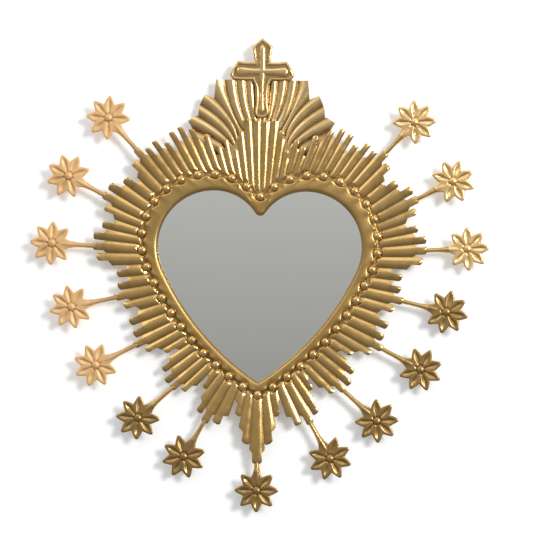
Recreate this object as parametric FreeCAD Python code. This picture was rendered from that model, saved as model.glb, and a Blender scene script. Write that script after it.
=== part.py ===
import FreeCAD, Part
import math
import os

os.makedirs("parts", exist_ok=True)

# Wall mirror: a heart of mirror glass in a pressed brass sunburst with star finials, a crest of
# flames and a cross. Millimetres, +Z up, +X right, the front faces -Y and the wall is on the +Y side.
# Heights are worked out from the middle of the sunburst, and depths forward from the back of the
# rear frame. The finished pieces are lowered so that the hanging hole is the origin.
HANG_HEIGHT = 75.0

# The heart line runs round the roots of the flutes, and the opening line runs just outside the glass that
# shows. Both are arcs tangent to each other: a shoulder and a lobe on one upright line, a flank, a tip.
HEART = dict(lobe_x=54.3, top=97.2, shoulder_r=75.3, lobe_r=77.6, flank_r=297.7, tip=-149.1, tip_r=16.9)
OPENING = dict(lobe_x=48.5, top=78.8, shoulder_r=58.1, lobe_r=65.1, flank_r=288.4, tip=-135.0, tip_r=7.0)

# Offsets from the heart line, minus is towards the glass.
FRAME_EDGE = 7.0
ROOT_LINE = -2.8
BEZEL_EDGE = -3.0
BEAD_LINE = -7.0
BAND_START = -12.6

# Offsets from the opening line.
BAND_CROWN = -1.4
GLASS_EDGE = -2.0
GLASS_PLAY = 0.3
SHEET_EDGE = -3.8
LIP_TOP = -4.4
LIP_EDGE = -6.0

# Thicknesses, and what follows from the stack.
BOARD_T = 3.0
CARD_T = 2.0
GLASS_T = 3.0
SHEET_T = 1.0
FRAME_T = BOARD_T + CARD_T + GLASS_T
SHEET_FRONT = FRAME_T + SHEET_T
FLANGE_FRONT = SHEET_FRONT + SHEET_T
BAND_RISE = 1.4
LIP_GAP = 0.1

# Flutes of the sunburst. The ends of the rays bulge by a share of their width.
FLUTE_H = 3.4
FLUTE_RISE = 2.0
FLUTE_RUN = 85.0
RAY_STEP = 9.0
RAY_FINGER = 0.6
RAY_SHOULDER = 0.2
RAY_ROUND = 0.3

# Each star, from the crest down the right side: the place of its stem along the heart line, the
# stem's direction in degrees, the distance from the heart line to the star, the reach of the flute
# that carries the stem, and the reaches of the flutes between it and the stem before.
STARS = [
    (110.6, 48.6, 89.8, 44, (70, 66, 50, 26, 34, 25, 36, 42, 46, 43, 34, 41, 38)),
    (155.7, 27.8, 85.6, 42, (35, 30, 40)),
    (191.4, 2.5, 88.2, 43, (36, 34, 42)),
    (238.9, -12.8, 85.1, 36, (40, 24, 28)),
    (284.5, -27.5, 90.8, 43, (31, 34, 37)),
    (333.2, -41.1, 90.4, 42, (36, 21, 35, 41)),
    (366.7, -59.4, 89.8, 46, (35, 18, 41)),
]
TAIL_STAR = (93.9, 64, (40, 21, 45))

# Star finials.
STAR_R = 23.0
STAR_NOTCH_R = 15.2
STAR_TIP_ROUND = 1.7
PETALS = 8
PETAL_BULGE = 0.3
PLEAT_TOP = 3.4
PLEAT_LOW = 1.3
BOSS_R = 3.5
BOSS_H = 2.2
STEM_W = 4.8
STEM_FLARE_W = 10.5
STEM_FLARE_R = 10.0
STEM_NECK_R = 25.0
SOLDER_GAP = 0.2
STEM_ROOT_GAP = 9.0

# Dome tacks on the bezel flange.
TACK_COUNT = 42
TACK_R = 4.7
TACK_H = 3.8
SHANK_W = 1.8
SHANK_L = 5.0
SHANK_PLAY = 0.1

# Crest of flames, soldered behind the sunburst. Each valley between flames runs from its root, bends
# at a point and ends past its tip.
CREST_TAIL_W = 37.0
CREST_TAIL_Z = 106.0
CREST_SEAT = 0.05
FLAME_H = 3.2
FLAME_STEPS = 6
FLAME_RISE_STEPS = 2
FLAMES = [
    ((0.0, 136.0), (0.0, 160.0), (0.0, 196.0)),
    ((5.0, 136.0), (5.5, 160.0), (7.5, 196.0)),
    ((10.0, 135.5), (14.0, 162.0), (17.0, 196.0)),
    ((15.5, 135.0), (22.5, 162.0), (27.5, 196.0)),
    ((20.5, 134.0), (35.0, 160.0), (38.5, 196.0)),
    ((24.5, 131.0), (30.0, 157.0), (66.0, 182.0)),
    ((27.0, 124.0), (34.0, 149.0), (76.0, 169.0)),
    ((30.0, 120.0), (42.0, 139.0), (84.0, 160.0)),
    ((33.0, 117.0), (48.0, 131.0), (90.0, 143.0)),
    ((37.0, 107.5), (56.0, 113.0), (92.0, 122.0)),
]
CREST_TOP_Z = 190.0
CREST_TOP_X = 48.5
# Corners of the flame tips below the flat top, each with the bulge of the side that leads to it.
FLAME_TIPS = [
    ((50.4, 170.0), 0.0),
    ((60.5, 174.2), 1.5),
    ((65.0, 164.5), 1.5),
    ((66.8, 152.8), 0.8),
    ((77.5, 145.6), 1.5),
    ((73.0, 138.0), 1.0),
    ((67.0, 125.0), 0.0),
    ((56.0, 114.0), 0.0),
]

# Cross on the crest: corners of the right half from the top to the foot, then its rim and spines.
CROSS_CORNERS = [
    (0.0, 234.6),
    (11.2, 225.0),
    (9.0, 208.4),
    (26.2, 210.0),
    (34.5, 195.0),
    (30.5, 189.6),
    (10.0, 189.4),
    (6.3, 177.0),
    (6.6, 165.0),
    (8.0, 156.0),
    (5.0, 151.0),
    (0.0, 149.2),
]
CROSS_ARM_Z = 198.0
CROSS_T = 2.0
CROSS_RIM = 3.6
CROSS_RIM_H = 1.6
CROSS_SPINE_W = 3.4
CROSS_SPINE_H = 1.8

# Hanger plate let into the back of the frame, with its keyhole.
BLOCK_W = 48.0
BLOCK_TOP = 101.0
HANGER_W = 16.0
HANGER_BOTTOM = 61.5
HANGER_TOP = 98.5
HANGER_T = 1.5
KEY_R = 4.5
SLOT_W = 4.6
SLOT_TOP = 84.0
POCKET_T = 3.0
POCKET_PLAY = 1.2
SCREW_R = 1.5
SCREW_HEAD_R = 2.9
SCREW_HEAD_T = 1.5
SCREW_L = 4.6
SCREW_INSET = 4.0

# Turn buttons on the back of the frame, and the bumpers that meet the wall.
BUTTON_STATIONS = (62.0, 185.0, 322.0)
BUTTON_LINE = -9.2
BUTTON_W = 9.0
BUTTON_L = 21.0
BUTTON_T = 1.2
BUTTON_PLAY = 0.1
BUMPER_STATIONS = (95.0, 290.0)
BUMPER_LINE = -1.0
BUMPER_R = 6.0
BUMPER_T = 4.0

# Points closer than this are one point.
CLOSE = 1e-6


def place(x, z, depth):
    return FreeCAD.Vector(x, -depth, z - HANG_HEIGHT)


def forward(depth):
    return FreeCAD.Vector(0, -depth, 0)


def closed_solid(faces):
    shell = Part.makeShell(faces)
    shell.sewShape()
    solid = Part.makeSolid(shell)
    if solid.Volume < 0:
        solid.reverse()
    return solid


def polar(angle, radius):
    return (radius * math.cos(angle), radius * math.sin(angle))


# The heart line and its offsets


def flank_centre(heart):
    # The flank holds the lobe and the round tip inside it and touches both.
    lobe_z = heart["top"] - heart["lobe_r"]
    tip_z = heart["tip"] + heart["tip_r"]
    to_lobe = heart["flank_r"] - heart["lobe_r"]
    to_tip = heart["flank_r"] - heart["tip_r"]
    gap = math.hypot(heart["lobe_x"], lobe_z - tip_z)
    along = (to_tip ** 2 - to_lobe ** 2 + gap ** 2) / (2 * gap)
    across = math.sqrt(to_tip ** 2 - along ** 2)
    ux = heart["lobe_x"] / gap
    uz = (lobe_z - tip_z) / gap
    return (along * ux - across * uz, tip_z + along * uz + across * ux)


def heart_half(heart, offset):
    # Arcs of the right half from the notch to the tip: centre x, centre z, radius, two angles.
    lobe_x = heart["lobe_x"]
    shoulder_z = heart["top"] - heart["shoulder_r"]
    lobe_z = heart["top"] - heart["lobe_r"]
    tip_z = heart["tip"] + heart["tip_r"]
    notch_z = shoulder_z + math.sqrt(heart["shoulder_r"] ** 2 - lobe_x ** 2)
    flank_x, flank_z = flank_centre(heart)
    start = math.acos(-lobe_x / (heart["shoulder_r"] + max(offset, 0.0)))
    bend = math.atan2(lobe_z - flank_z, lobe_x - flank_x)
    end = math.atan2(tip_z - flank_z, -flank_x)
    arcs = []
    if offset < 0:
        arcs.append((0.0, notch_z, -offset, -math.pi / 2, start - math.pi))
    arcs.append((lobe_x, shoulder_z, heart["shoulder_r"] + offset, start, math.pi / 2))
    arcs.append((lobe_x, lobe_z, heart["lobe_r"] + offset, math.pi / 2, bend))
    arcs.append((flank_x, flank_z, heart["flank_r"] + offset, bend, end))
    arcs.append((0.0, tip_z, heart["tip_r"] + offset, end, -math.pi / 2))
    return arcs


def half_length(offset):
    return sum(radius * abs(last - first) for _, _, radius, first, last in heart_half(HEART, offset))


def heart_point(offset, station):
    # The point at a distance along the right half, and the direction that points out of the heart.
    station = min(station, half_length(offset) - CLOSE)
    for cx, cz, radius, first, last in heart_half(HEART, offset):
        length = radius * abs(last - first)
        if station <= length:
            break
        station -= length
    angle = first + (last - first) * station / length
    dx, dz = polar(angle, radius)
    outward = angle if last < first else angle + math.pi
    return cx + dx, cz + dz, outward


def heart_edges(heart, offset, depth):
    right = []
    left = []
    for cx, cz, radius, first, last in heart_half(heart, offset):
        marks = [polar(first + (last - first) * share, radius) for share in (0.0, 0.5, 1.0)]
        near, middle, far = [place(cx + dx, cz + dz, depth) for dx, dz in marks]
        right.append(Part.Arc(near, middle, far).toShape())
        near, middle, far = [place(-cx - dx, cz + dz, depth) for dx, dz in marks]
        left.insert(0, Part.Arc(far, middle, near).toShape())
    return right + left


def heart_slab(heart, offset, back, front):
    face = Part.Face(Part.Wire(heart_edges(heart, offset, back)))
    return face.extrude(forward(front - back))


def heart_ring(profile):
    # A ring with the given profile of line, offset and depth, swept round the heart.
    loops = [heart_edges(*corner) for corner in profile]
    faces = []
    for index, loop in enumerate(loops):
        for edge, other in zip(loop, loops[index - 1]):
            faces.append(Part.makeRuledSurface(edge, other))
    return closed_solid(faces)


# Fluted sheet metal


def arch(near, far, height):
    # A round arch over the chord between two valleys, or the chord itself where the sheet is flat.
    if height == 0:
        return Part.LineSegment(near, far).toShape()
    middle = (near + far) * 0.5 + forward(height)
    return Part.Arc(near, middle, far).toShape()


def fluted_faces(valleys, heights, closed):
    # Valleys are lists of points, one for each height. The sheet arches from valley to valley.
    faces = []
    first = 0 if closed else 1
    for index in range(first, len(valleys)):
        left = valleys[index - 1]
        right = valleys[index]
        arches = [arch(a, b, height) for a, b, height in zip(left, right, heights)]
        for inner, outer in zip(arches, arches[1:]):
            faces.append(Part.makeRuledSurface(inner, outer))
    return faces


def thick_sheet(faces):
    # The faces are the front of the sheet, and its back is the same form one thickness behind.
    front = Part.makeShell(faces)
    front.sewShape()
    rims = [edge for edge in front.Edges if len(front.ancestorsOfType(edge, Part.Face)) == 1]
    walls = [rim.extrude(forward(-SHEET_T)) for rim in rims]
    back = front.translated(forward(-SHEET_T))
    return closed_solid(front.Faces + back.Faces + walls)


def flute_lines():
    # Middle lines of the flutes on the right half, as a station, a direction, a reach and the
    # side that the stem of the group is on: -1 before, 0 on the flute itself, 1 after.
    lines = []
    last_station = 0.0
    last_angle = 90.0
    bottom = (half_length(0.0), -90.0) + TAIL_STAR
    for number, (station, angle, _, stem_reach, reaches) in enumerate(STARS + [bottom]):
        count = len(reaches) + (1.0 if number else 0.5)
        for index, reach in enumerate(reaches):
            share = (index + (1.0 if number else 0.5)) / count
            side = -1 if share < 0.5 else 1
            spot = last_station + (station - last_station) * share
            lines.append((spot, last_angle + (angle - last_angle) * share, reach, side))
        lines.append((station, angle, stem_reach, 0))
        last_station = station
        last_angle = angle
    return lines


def valley_lines(lines):
    # Each valley lies halfway between two flutes, and the first one on the axis.
    valleys = [(0.0, 90.0)]
    for one, two in zip(lines, lines[1:]):
        valleys.append(((one[0] + two[0]) / 2, (one[1] + two[1]) / 2))
    return valleys


def valley_point(valley, reach):
    x, z, _ = heart_point(0.0, valley[0])
    dx, dz = polar(math.radians(valley[1]), reach)
    return (x + dx, z + dz)


def between(one, two, share):
    return (one[0] + (two[0] - one[0]) * share, one[1] + (two[1] - one[1]) * share)


def ray_end(left, right, reach, side):
    # The stepped end of a flute: fingers as a start, a round middle and an end across the flute.
    low = reach - RAY_STEP
    if side == 0:
        fingers = [(0.0, RAY_SHOULDER, low), (RAY_SHOULDER, 1 - RAY_SHOULDER, reach)]
        fingers.append((1 - RAY_SHOULDER, 1.0, low))
    elif side < 0:
        fingers = [(0.0, RAY_FINGER, reach), (RAY_FINGER, 1.0, low)]
    else:
        fingers = [(0.0, 1 - RAY_FINGER, low), (1 - RAY_FINGER, 1.0, reach)]
    ends = []
    for first, last, length in fingers:
        near = between(left(length), right(length), first)
        far = between(left(length), right(length), last)
        tip = length + RAY_ROUND * math.dist(near, far)
        ends.append((near, between(left(tip), right(tip), (first + last) / 2), far))
    return ends


def outline_face(ends, depth):
    # Joins rounded ends with straight lines into one closed face.
    edges = []
    points = [[place(x, z, depth) for x, z in end] for end in ends]
    for index, (first, middle, last) in enumerate(points):
        before = points[index - 1][2]
        if before.distanceToPoint(first) > CLOSE:
            edges.append(Part.LineSegment(before, first).toShape())
        edges.append(Part.Arc(first, middle, last).toShape())
    return Part.Face(Part.Wire(edges))


def flip(end):
    return [(-x, z) for x, z in reversed(end)]


def ray_outline(lines, valleys):
    ends = []
    for index, (_, _, reach, side) in enumerate(lines[:-1]):
        def left(length, valley=valleys[index]):
            return valley_point(valley, length)

        def right(length, valley=valleys[index + 1]):
            return valley_point(valley, length)
        ends += ray_end(left, right, reach, side)

    def last(length):
        return valley_point(valleys[-1], length)

    def last_mirrored(length):
        x, z = valley_point(valleys[-1], length)
        return (-x, z)
    bottom = ray_end(last, last_mirrored, lines[-1][2], 0)
    return ends + bottom + [flip(end) for end in reversed(ends)]


def tack_spots():
    # Tacks stand at even steps along the bead line, with one at the notch and one at the tip.
    step = 2 * half_length(BEAD_LINE) / TACK_COUNT
    spots = []
    for index in range(TACK_COUNT // 2 + 1):
        x, z, _ = heart_point(BEAD_LINE, index * step)
        spots.append((x, z))
        if 0 < index < TACK_COUNT // 2:
            spots.append((-x, z))
    return spots


def shanks(play):
    width = SHANK_W + 2 * play
    bars = []
    for x, z in tack_spots():
        corner = place(x - width / 2, z - width / 2, FLANGE_FRONT)
        bars.append(Part.makeBox(width, SHANK_L, width, corner))
    return bars


def sunburst_plate():
    lines = flute_lines()
    valleys = valley_lines(lines)
    reaches = (ROOT_LINE, FLUTE_RISE, FLUTE_RUN)
    right = [[valley_point(valley, reach) for reach in reaches] for valley in valleys]
    left = [[(-x, z) for x, z in valley] for valley in reversed(right[1:])]
    points = [[place(x, z, SHEET_FRONT) for x, z in valley] for valley in right + left]
    faces = fluted_faces(points, (0.0, FLUTE_H, FLUTE_H), True)
    roots = [valley[0] for valley in points]
    rim = Part.makePolygon(roots + roots[:1])
    opening = Part.Wire(heart_edges(OPENING, SHEET_EDGE, SHEET_FRONT))
    land = Part.Face(rim).cut(Part.Face(opening))
    sheet = thick_sheet(faces + land.Faces)
    outline = outline_face(ray_outline(lines, valleys), 0.0)
    plate = sheet.common(outline.extrude(forward(SHEET_FRONT + 2 * FLUTE_H)))
    return plate.cut(shanks(SHANK_PLAY))


def crest_plate():
    # One sheet behind the sunburst: a flat tail against its back, and flames whose ridges stay level
    # with the tail while the valleys between them sink back.
    ridge = FRAME_T - CREST_SEAT
    steps = range(FLAME_STEPS + 1)
    heights = [FLAME_H * min(step / FLAME_RISE_STEPS, 1.0) for step in steps]
    right = []
    for root, bend, tip in FLAMES:
        shares = [step / FLAME_STEPS for step in steps]
        right.append([between(between(root, bend, s), between(bend, tip, s), s) for s in shares])
    left = [[(-x, z) for x, z in valley] for valley in reversed(right[1:])]
    points = []
    for valley in left + right:
        points.append([place(x, z, ridge - height) for (x, z), height in zip(valley, heights)])
    faces = fluted_faces(points, heights, False)
    tail = [place(CREST_TAIL_W, CREST_TAIL_Z, ridge), place(-CREST_TAIL_W, CREST_TAIL_Z, ridge)]
    roots = [valley[0] for valley in points]
    faces.append(Part.Face(Part.makePolygon(roots + tail + roots[:1])))
    return thick_sheet(faces).common(crest_outline().extrude(forward(FRAME_T)))


def crest_outline():
    corners = [((CREST_TOP_X, CREST_TOP_Z), 0.0)] + FLAME_TIPS + [((CREST_TAIL_W, CREST_TAIL_Z), 0.0)]
    edges = []
    for (one, _), (two, bulge) in zip(corners, corners[1:]):
        for side in (1, -1):
            near = place(side * one[0], one[1], 0.0)
            far = place(side * two[0], two[1], 0.0)
            if bulge == 0:
                edges.append(Part.LineSegment(near, far).toShape())
                continue
            run = far - near
            push = FreeCAD.Vector(-run.z * side, 0, run.x * side).normalize() * bulge
            edges.append(Part.Arc(near, (near + far) * 0.5 + push, far).toShape())
    for x, z in ((CREST_TOP_X, CREST_TOP_Z), (CREST_TAIL_W, CREST_TAIL_Z)):
        edges.append(Part.LineSegment(place(-x, z, 0.0), place(x, z, 0.0)).toShape())
    return Part.Face(Part.Wire(Part.__sortEdges__(edges)))


def crest_cross():
    back = FRAME_T
    loop = [place(x, z, back) for x, z in CROSS_CORNERS]
    loop += [place(-x, z, back) for x, z in reversed(CROSS_CORNERS[1:-1])]
    face = Part.Face(Part.makePolygon(loop + loop[:1]))
    plate = face.extrude(forward(CROSS_T))
    rim = face.cut(face.makeOffset2D(-CROSS_RIM)).extrude(forward(CROSS_T + CROSS_RIM_H))
    return plate.fuse([rim] + cross_spines(back + CROSS_T)).removeSplitter()


def cross_spines(front):
    # Half-round spines along the shaft and the arms.
    inset = CROSS_RIM + CROSS_SPINE_W
    span = max(x for x, _ in CROSS_CORNERS) - inset
    ends = [
        ((0.0, CROSS_CORNERS[-1][1] + inset), (0.0, CROSS_CORNERS[0][1] - inset)),
        ((-span, CROSS_ARM_Z), (span, CROSS_ARM_Z)),
    ]
    spines = []
    for (x0, z0), (x1, z1) in ends:
        run = FreeCAD.Vector(x1 - x0, 0, z1 - z0)
        side = FreeCAD.Vector(run.z, 0, -run.x).normalize() * (CROSS_SPINE_W / 2)
        start = place(x0, z0, front)
        bow = Part.Arc(start - side, start + forward(CROSS_SPINE_H), start + side).toShape()
        chord = Part.LineSegment(start + side, start - side).toShape()
        spines.append(Part.Face(Part.Wire([bow, chord])).extrude(run))
    return spines


def heart_bezel():
    under = SHEET_FRONT
    lip = FRAME_T + LIP_GAP
    profile = [
        (HEART, BEZEL_EDGE, under),
        (HEART, BEZEL_EDGE, FLANGE_FRONT),
        (HEART, BAND_START, FLANGE_FRONT),
        (OPENING, BAND_CROWN, FLANGE_FRONT + BAND_RISE),
        (OPENING, LIP_TOP, FLANGE_FRONT + BAND_RISE / 2),
        (OPENING, LIP_EDGE, lip),
        (OPENING, LIP_EDGE + SHEET_T, lip),
        (OPENING, LIP_TOP + SHEET_T / 2, under + BAND_RISE / 2),
        (OPENING, BAND_CROWN, under + BAND_RISE),
        (HEART, BAND_START, under),
    ]
    return heart_ring(profile).cut(shanks(SHANK_PLAY))


def dome_tacks():
    ball_r = (TACK_R ** 2 + TACK_H ** 2) / (2 * TACK_H)
    tacks = []
    for (x, z), shank in zip(tack_spots(), shanks(0.0)):
        ball = Part.makeSphere(ball_r, place(x, z, FLANGE_FRONT + TACK_H - ball_r), forward(1))
        keep = Part.makeCylinder(2 * ball_r, TACK_H, place(x, z, FLANGE_FRONT), forward(1))
        tacks.append(ball.common(keep).fuse(shank))
    return Part.makeCompound(tacks)


def mirror_glass():
    return heart_slab(OPENING, GLASS_EDGE, FRAME_T - GLASS_T, FRAME_T)


def backing_card():
    return heart_slab(OPENING, GLASS_EDGE, BOARD_T, BOARD_T + CARD_T)


def back_board():
    return heart_slab(OPENING, GLASS_EDGE, 0.0, BOARD_T)


# Star finials, made once with the stem along -X and set in place


def star_outline():
    # Seven free petals with round tips, open on the stem's side.
    pitch = 2 * math.pi / PETALS
    tip_turn = STAR_TIP_ROUND / STAR_R
    ends = []
    for index in range(1, PETALS):
        middle = math.pi + index * pitch
        notch = polar(middle - pitch / 2, STAR_NOTCH_R)
        left = polar(middle - tip_turn, STAR_R - STAR_TIP_ROUND)
        right = polar(middle + tip_turn, STAR_R - STAR_TIP_ROUND)
        other = polar(middle + pitch / 2, STAR_NOTCH_R)
        reach = (STAR_NOTCH_R + STAR_R - STAR_TIP_ROUND) / 2
        swell = pitch / 4 + PETAL_BULGE / reach
        ends.append((notch, polar(middle - swell, reach), left))
        ends.append((left, polar(middle, STAR_R), right))
        ends.append((right, polar(middle + swell, reach), other))
    return ends


def star_piece(stem_length):
    pitch = 2 * math.pi / PETALS
    far = STAR_R + STEM_W
    centre = FreeCAD.Vector(0, -PLEAT_TOP, 0)
    faces = []
    for index in range(2 * PETALS):
        corners = [centre]
        for spoke in (index, index + 1):
            x, z = polar(math.pi + spoke * pitch / 2, far)
            corners.append(FreeCAD.Vector(x, -(PLEAT_TOP if spoke % 2 else PLEAT_LOW), z))
        faces.append(Part.Face(Part.makePolygon(corners + corners[:1])))
    edges = []
    ends = star_outline()
    points = [[FreeCAD.Vector(x, 0, z) for x, z in end] for end in ends]
    for first, middle, last in points:
        edges.append(Part.Arc(first, middle, last).toShape())
    edges.append(Part.LineSegment(points[-1][2], points[0][0]).toShape())
    blank = Part.Face(Part.Wire(edges)).extrude(forward(2 * PLEAT_TOP))
    petals = thick_sheet(faces).common(blank)
    ball_r = (BOSS_R ** 2 + BOSS_H ** 2) / (2 * BOSS_H)
    seat = PLEAT_TOP - SHEET_T
    ball = Part.makeSphere(ball_r, forward(PLEAT_TOP + BOSS_H - ball_r), forward(1))
    keep = Part.makeCylinder(2 * ball_r, SHEET_T + BOSS_H, forward(seat), forward(1))
    return petals.fuse([ball.common(keep), star_stem(stem_length)]).removeSplitter()


def star_stem(stem_length):
    # A half-round stem that flares to the width of a petal where it meets the star.
    height = FLUTE_H - SOLDER_GAP
    sections = [(STEM_FLARE_R, STEM_FLARE_W), (STEM_NECK_R, STEM_W), (stem_length, STEM_W)]
    loops = []
    for distance, width in sections:
        near = FreeCAD.Vector(-distance, 0, -width / 2)
        far = FreeCAD.Vector(-distance, 0, width / 2)
        bow = Part.Arc(near, FreeCAD.Vector(-distance, -height, 0), far).toShape()
        loops.append(Part.Wire([bow, Part.LineSegment(far, near).toShape()]))
    return Part.makeLoft(loops, True, True)


def set_star(star, x, z, angle):
    turned = star.copy()
    turned.rotate(FreeCAD.Vector(0, 0, 0), FreeCAD.Vector(0, 1, 0), -angle)
    turned.translate(place(x, z, FRAME_T))
    return turned


def star_finials():
    # Numbered clockwise from the upper right, with the one at the bottom in the middle. Each stem
    # lies along the middle of its flute, between the valleys on its two sides.
    lines = flute_lines()
    valleys = valley_lines(lines)
    seats = [index for index, line in enumerate(lines[:-1]) if line[3] == 0]
    right = []
    left = []
    for index, (_, _, distance, _, _) in zip(seats, STARS):
        near = between(valley_point(valleys[index], 0.0), valley_point(valleys[index + 1], 0.0), 0.5)
        ends = valley_point(valleys[index], FLUTE_RUN), valley_point(valleys[index + 1], FLUTE_RUN)
        far = between(*ends, 0.5)
        angle = math.degrees(math.atan2(far[1] - near[1], far[0] - near[0]))
        dx, dz = polar(math.radians(angle), distance)
        star = star_piece(distance - STEM_ROOT_GAP)
        right.append(set_star(star, near[0] + dx, near[1] + dz, angle))
        left.insert(0, set_star(star, -near[0] - dx, near[1] + dz, 180 - angle))
    distance = TAIL_STAR[0]
    bottom = set_star(star_piece(distance - STEM_ROOT_GAP), 0.0, HEART["tip"] - distance, -90.0)
    return right + [bottom] + left


# The back


def rounded_slot(width, low, high, back, front):
    # An upright slot with round ends, given by the heights of its two centres.
    radius = width / 2
    ends = [Part.makeCylinder(radius, front - back, place(0, z, back), forward(1)) for z in (low, high)]
    bar = Part.makeBox(width, front - back, high - low, place(-radius, low, front))
    return ends[0].fuse([ends[1], bar]).removeSplitter()


def hanger_screw_heights():
    return (HANGER_BOTTOM + SCREW_INSET, HANGER_TOP - SCREW_INSET)


def screw_cores(spots, back, length, radius):
    return [Part.makeCylinder(radius, length, place(x, z, back), forward(1)) for x, z in spots]


def screws(spots, seat):
    heads = screw_cores(spots, seat - SCREW_HEAD_T, SCREW_HEAD_T, SCREW_HEAD_R)
    cores = screw_cores(spots, seat, SCREW_L, SCREW_R)
    return Part.makeCompound([head.fuse(core).removeSplitter() for head, core in zip(heads, cores)])


def hanger_spots():
    return [(0.0, z) for z in hanger_screw_heights()]


def hanger_blank(play):
    width = HANGER_W + 2 * play
    height = HANGER_TOP - HANGER_BOTTOM + 2 * play
    return Part.makeBox(width, HANGER_T, height, place(-width / 2, HANGER_BOTTOM - play, HANGER_T))


def hanger_plate():
    hole = Part.makeCylinder(KEY_R, HANGER_T, place(0, HANG_HEIGHT, 0.0), forward(1))
    slot = rounded_slot(SLOT_W, HANG_HEIGHT, SLOT_TOP, 0.0, HANGER_T)
    holes = screw_cores(hanger_spots(), 0.0, HANGER_T, SCREW_R + SHANK_PLAY)
    return hanger_blank(0.0).cut([hole, slot] + holes)


def button_spots():
    spots = []
    for station in BUTTON_STATIONS:
        x, z, outward = heart_point(BUTTON_LINE, station)
        spots.append((x, z, outward))
    return spots + [(-x, z, math.pi - outward) for x, z, outward in reversed(spots)]


def rear_frame():
    ring = heart_slab(HEART, FRAME_EDGE, 0.0, FRAME_T)
    notch = heart_point(BEAD_LINE, 0.0)[1]
    block = Part.makeBox(BLOCK_W, FRAME_T, BLOCK_TOP - notch, place(-BLOCK_W / 2, notch, FRAME_T))
    blank = ring.fuse(block).removeSplitter()
    well = heart_slab(OPENING, GLASS_EDGE + GLASS_PLAY, 0.0, FRAME_T)
    pocket_w = 2 * (KEY_R + POCKET_PLAY)
    pocket = rounded_slot(pocket_w, HANG_HEIGHT, SLOT_TOP, HANGER_T, HANGER_T + POCKET_T)
    holes = screw_cores(hanger_spots(), 0.0, SCREW_L, SCREW_R)
    holes += screw_cores([spot[:2] for spot in button_spots()], 0.0, SCREW_L, SCREW_R)
    return blank.cut([well, hanger_blank(SHANK_PLAY), pocket] + holes + shanks(0.0))


def turn_button(x, z, outward):
    # A round-ended strip that turns on its screw, with its long end over the back board.
    half = BUTTON_W / 2
    back = -BUTTON_PLAY - BUTTON_T
    front = -BUTTON_PLAY
    origin = FreeCAD.Vector(0, 0, 0)
    far = BUTTON_W - BUTTON_L
    ends = [Part.makeCylinder(half, BUTTON_T, FreeCAD.Vector(s, -back, 0), forward(1)) for s in (0, far)]
    bar = Part.makeBox(-far, BUTTON_T, BUTTON_W, FreeCAD.Vector(far, -front, -half))
    hole = Part.makeCylinder(SCREW_R + BUTTON_PLAY, BUTTON_T, FreeCAD.Vector(0, -back, 0), forward(1))
    strip = ends[0].fuse([ends[1], bar]).removeSplitter().cut(hole)
    strip.rotate(origin, FreeCAD.Vector(0, 1, 0), -math.degrees(outward))
    strip.translate(place(x, z, 0.0))
    return strip


def button_screws():
    seat = -2 * BUTTON_PLAY - BUTTON_T
    spots = [spot[:2] for spot in button_spots()]
    heads = screw_cores(spots, seat - SCREW_HEAD_T, SCREW_HEAD_T, SCREW_HEAD_R)
    cores = screw_cores(spots, seat, SCREW_L - seat, SCREW_R)
    return Part.makeCompound([head.fuse(core).removeSplitter() for head, core in zip(heads, cores)])


def wall_bumpers():
    pads = []
    for station in BUMPER_STATIONS:
        x, z, _ = heart_point(BUMPER_LINE, station)
        for side in (1, -1):
            pads.append(Part.makeCylinder(BUMPER_R, BUMPER_T, place(side * x, z, -BUMPER_T), forward(1)))
    return Part.makeCompound(pads)


pieces = {
    "sunburst_plate": sunburst_plate(),
    "crest_plate": crest_plate(),
    "crest_cross": crest_cross(),
    "heart_bezel": heart_bezel(),
    "dome_tacks": dome_tacks(),
    "mirror_glass": mirror_glass(),
    "backing_card": backing_card(),
    "back_board": back_board(),
    "rear_frame": rear_frame(),
    "hanger_plate": hanger_plate(),
    "hanger_screws": screws(hanger_spots(), 0.0),
    "button_screws": button_screws(),
    "wall_bumpers": wall_bumpers(),
}
for number, star in enumerate(star_finials(), 1):
    pieces["star_%02d" % number] = star
for number, spot in enumerate(button_spots(), 1):
    pieces["turn_button_%d" % number] = turn_button(*spot)

for name, shape in pieces.items():
    shape.exportStep("parts/%s.step" % name)
    print(name, len(shape.Solids), "solids", round(shape.Volume), "mm3", shape.isValid())
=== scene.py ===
import math

import bmesh
import bpy
from mathutils import Matrix, Vector


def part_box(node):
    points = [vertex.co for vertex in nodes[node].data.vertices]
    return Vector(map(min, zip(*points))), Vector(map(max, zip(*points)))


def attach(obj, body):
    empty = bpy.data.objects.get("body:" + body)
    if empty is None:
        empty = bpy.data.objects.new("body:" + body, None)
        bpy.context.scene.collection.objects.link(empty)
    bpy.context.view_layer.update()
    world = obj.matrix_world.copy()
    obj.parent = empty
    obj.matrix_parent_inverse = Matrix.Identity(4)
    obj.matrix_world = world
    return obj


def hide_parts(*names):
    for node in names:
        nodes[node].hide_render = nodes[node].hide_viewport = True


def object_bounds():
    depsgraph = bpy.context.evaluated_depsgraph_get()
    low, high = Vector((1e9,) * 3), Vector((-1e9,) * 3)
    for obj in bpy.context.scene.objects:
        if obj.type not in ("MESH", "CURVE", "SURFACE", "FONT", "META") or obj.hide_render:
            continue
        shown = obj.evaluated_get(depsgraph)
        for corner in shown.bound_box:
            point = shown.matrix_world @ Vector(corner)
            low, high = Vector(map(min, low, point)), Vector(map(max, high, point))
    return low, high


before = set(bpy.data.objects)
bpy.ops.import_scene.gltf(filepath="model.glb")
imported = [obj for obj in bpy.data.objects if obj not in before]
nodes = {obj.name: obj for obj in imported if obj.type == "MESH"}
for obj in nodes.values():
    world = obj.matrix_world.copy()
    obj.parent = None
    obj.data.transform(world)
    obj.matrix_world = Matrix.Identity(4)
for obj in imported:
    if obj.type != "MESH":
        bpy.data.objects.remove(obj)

cad_low, cad_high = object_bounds()


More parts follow.
